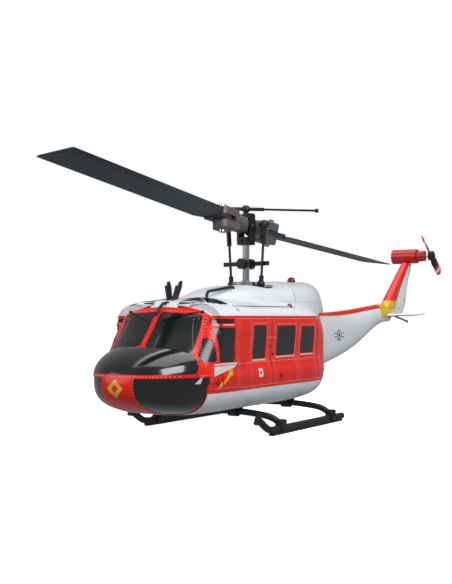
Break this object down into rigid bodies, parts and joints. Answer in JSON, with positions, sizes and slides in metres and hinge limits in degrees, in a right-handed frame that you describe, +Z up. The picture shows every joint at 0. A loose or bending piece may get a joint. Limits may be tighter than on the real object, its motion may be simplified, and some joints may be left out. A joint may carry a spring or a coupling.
{
  "type": "helicopter scale model",
  "caption": "Motorised scale model of a skid-equipped utility helicopter with a spinning two-blade rotor, working pitch linkage and tail rotor.",
  "frame": {"origin": "middle of the part's overall box, on the ground the skids stand on", "axes": "+Z up along the rotor mast, +Y towards the tail, +X towards the model's left (port) side"},
  "size_m": [0.0936, 0.376, 0.1274],
  "materials": {
    "red_shell": "semi-gloss red lacquer on moulded plastic",
    "white_shell": "semi-gloss white lacquer on moulded plastic",
    "black_gloss": "high gloss black",
    "window_black": "glossy opaque black window inserts",
    "window_green": "dark translucent green",
    "lamp_red": "dark red lamp lens",
    "black_plastic": "satin black glass-filled nylon",
    "grip_brown": "satin brown-grey moulded nylon",
    "blade_grey": "satin slate grey",
    "steel": "bright ground steel",
    "red_anodised": "red coated motor can",
    "swash_aluminium": "turned aluminium",
    "gear_nylon": "natural nylon",
    "pinion_brass": "turned brass",
    "battery_wrap": "shrink wrap",
    "board_green": "solder mask"
  },
  "bodies": {
    "airframe": {"chassis": "black_plastic", "cabin_shell": "red_shell", "nose_hood": "black_gloss", "belly_pan": "white_shell", "side_windows_left": "window_black", "side_windows_right": "window_black", "windscreen_left": "window_black", "windscreen_right": "window_black", "roof_windows": "window_green", "chin_windows": "black_gloss", "pylon_cowl": "white_shell", "engine_cowl": "white_shell", "tail_boom": "white_shell", "fin_cover": "red_shell", "tail_fin": "white_shell", "shaft_cover": "red_shell", "stabilisers": "white_shell", "tail_skid": "black_plastic", "tail_motor": "red_anodised", "cross_tube_front": "black_plastic", "cross_tube_rear": "black_plastic", "skid_left": "black_plastic", "skid_right": "black_plastic", "skid_shoes": "black_plastic", "skid_saddles": "black_plastic", "belly_straps": "black_plastic", "wire_cutter": "black_plastic", "grab_rail": "black_plastic", "beacon": "lamp_red", "nav_lights": "lamp_red", "shaft_bearings": "steel", "main_motor": "steel", "servo_cases": "black_plastic", "battery": "battery_wrap", "control_board": "board_green"},
    "main_rotor": {"main_shaft": "steel", "main_gear": "gear_nylon", "head_block": "black_plastic", "stabiliser_bar": "black_plastic", "driver_bar": "black_plastic"},
    "teeter_head": {"teeter_hub": "steel", "feathering_spindle": "steel", "grip_bearings": "steel"},
    "grip_rear": {"grip_rear": "grip_brown", "blade_bolt_rear": "steel"},
    "grip_front": {"grip_front": "grip_brown", "blade_bolt_front": "steel"},
    "blade_rear": {"rotor_blade_rear": "blade_grey"},
    "blade_front": {"rotor_blade_front": "blade_grey"},
    "pitch_link_rear": {"pitch_link_rear": "black_plastic"},
    "pitch_link_front": {"pitch_link_front": "black_plastic"},
    "swash_lower": {"swash_lower": "black_plastic", "servo_links": "black_plastic"},
    "swash_upper": {"swash_upper": "swash_aluminium"},
    "servo_arm_front": {"servo_arm_front": "black_plastic"},
    "servo_arm_left": {"servo_arm_left": "black_plastic"},
    "servo_arm_right": {"servo_arm_right": "black_plastic"},
    "pinion": {"pinion": "pinion_brass"},
    "tail_rotor": {"tail_rotor": "black_plastic", "tail_rotor_shaft": "steel"}
  },
  "joints": [
    {"name": "main_rotor_spin", "type": "hinge", "parent": "airframe", "child": "main_rotor", "pos_m": [0, -0.06355, 0.104], "axis": [0, 0, 1], "continuous": true},
    {"name": "head_teeter", "type": "hinge", "parent": "main_rotor", "child": "teeter_head", "pos_m": [0, -0.06355, 0.104], "axis": [0.9848, -0.1736, 0], "range_deg": [0, 16]},
    {"name": "collective", "type": "slide", "parent": "airframe", "child": "swash_lower", "axis": [0, 0, 1], "range_m": [-0.0013, 0.0026]},
    {"name": "swash_spin", "type": "hinge", "parent": "swash_lower", "child": "swash_upper", "pos_m": [0, -0.06355, 0.072], "axis": [0, 0, 1], "continuous": true},
    {"name": "pitch_link_rear_slide", "type": "slide", "parent": "main_rotor", "child": "pitch_link_rear", "axis": [0, 0, 1], "range_m": [-0.0014, 0.0027]},
    {"name": "pitch_link_front_slide", "type": "slide", "parent": "main_rotor", "child": "pitch_link_front", "axis": [0, 0, 1], "range_m": [-0.0014, 0.0027]},
    {"name": "grip_rear_pitch", "type": "hinge", "parent": "teeter_head", "child": "grip_rear", "pos_m": [0, -0.06355, 0.104], "axis": [0.172, 0.9752, -0.1392], "range_deg": [-12.2, 6.2]},
    {"name": "grip_front_pitch", "type": "hinge", "parent": "teeter_head", "child": "grip_front", "pos_m": [0, -0.06355, 0.104], "axis": [-0.172, -0.9752, 0.1392], "range_deg": [-12.2, 6.2]},
    {"name": "blade_rear_fold", "type": "hinge", "parent": "grip_rear", "child": "blade_rear", "pos_m": [0.00318, -0.0455, 0.10143], "axis": [0.1474, 0.1142, 0.9825], "range_deg": [-80, 80]},
    {"name": "blade_front_fold", "type": "hinge", "parent": "grip_front", "child": "blade_front", "pos_m": [-0.00318, -0.08159, 0.10658], "axis": [-0.0995, 0.1577, 0.9825], "range_deg": [-80, 80]},
    {"name": "pinion_spin", "type": "hinge", "parent": "airframe", "child": "pinion", "pos_m": [0, -0.08105, 0.033], "axis": [0, 0, 1], "continuous": true},
    {"name": "tail_rotor_spin", "type": "hinge", "parent": "airframe", "child": "tail_rotor", "pos_m": [0.018, 0.16845, 0.101], "axis": [1, 0, 0], "continuous": true},
    {"name": "servo_arm_front_turn", "type": "hinge", "parent": "airframe", "child": "servo_arm_front", "pos_m": [0.008, -0.07555, 0.0572], "axis": [0, -1, 0], "range_deg": [-19.2, 9.8]},
    {"name": "servo_arm_left_turn", "type": "hinge", "parent": "airframe", "child": "servo_arm_left", "pos_m": [0.00639, -0.05062, 0.0572], "axis": [0.866, 0.5, 0], "range_deg": [-19.2, 9.8]},
    {"name": "servo_arm_right_turn", "type": "hinge", "parent": "airframe", "child": "servo_arm_right", "pos_m": [-0.01439, -0.06447, 0.0572], "axis": [-0.866, 0.5, 0], "range_deg": [-19.2, 9.8]}
  ],
  "couplings": [
    {"joint": "swash_spin", "follows": "main_rotor_spin", "ratio": 1},
    {"joint": "pinion_spin", "follows": "main_rotor_spin", "ratio": -6},
    {"joint": "pitch_link_rear_slide", "follows": "collective", "ratio": 1},
    {"joint": "pitch_link_front_slide", "follows": "collective", "ratio": 1},
    {"joint": "grip_rear_pitch", "follows": "collective", "rad_per_m": -79.365},
    {"joint": "grip_front_pitch", "follows": "collective", "rad_per_m": -79.365},
    {"joint": "servo_arm_front_turn", "follows": "collective", "rad_per_m": -125},
    {"joint": "servo_arm_left_turn", "follows": "collective", "rad_per_m": -125},
    {"joint": "servo_arm_right_turn", "follows": "collective", "rad_per_m": -125}
  ]
}
